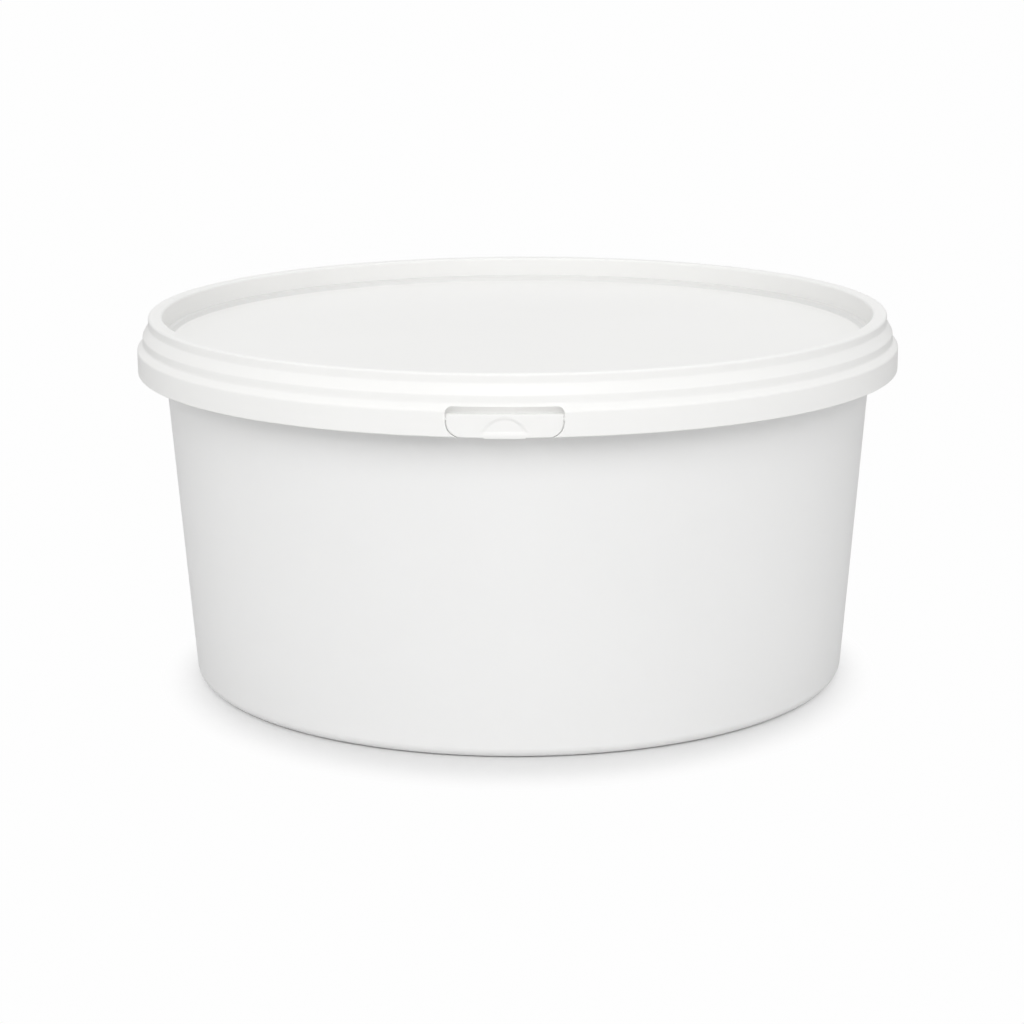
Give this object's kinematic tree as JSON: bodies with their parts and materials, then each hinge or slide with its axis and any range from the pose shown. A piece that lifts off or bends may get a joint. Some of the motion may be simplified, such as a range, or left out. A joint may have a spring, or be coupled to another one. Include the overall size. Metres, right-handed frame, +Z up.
{
  "type": "wall filler tub",
  "caption": "Round tapered plastic tub of wall filler paste, with a press-on lid whose stepped skirt carries a tear tab.",
  "frame": {"origin": "centre of the foot ring's underside, on the surface that the tub stands on", "axes": "+Z up along the tub's axis, and the tear tab faces -Y"},
  "size_m": [0.198, 0.198, 0.0956],
  "materials": {
    "tub_plastic": "satin",
    "lid_plastic": "satin",
    "filler_paste": "matte"
  },
  "bodies": {
    "tub_body": {"tub": "tub_plastic", "filler_paste": "filler_paste"},
    "lid_body": {"lid": "lid_plastic", "tear_bridges": "lid_plastic"},
    "tab_body": {"tear_tab": "lid_plastic"}
  },
  "joints": [
    {"name": "lid_lift", "type": "slide", "parent": "tub_body", "child": "lid_body", "axis": [0, 0, 1], "range_m": [0, 0.12]},
    {"name": "tab_tear", "type": "hinge", "parent": "lid_body", "child": "tab_body", "pos_m": [0, -0.09752, 0.0854], "axis": [-1, 0, 0], "range_deg": [0, 85]}
  ]
}
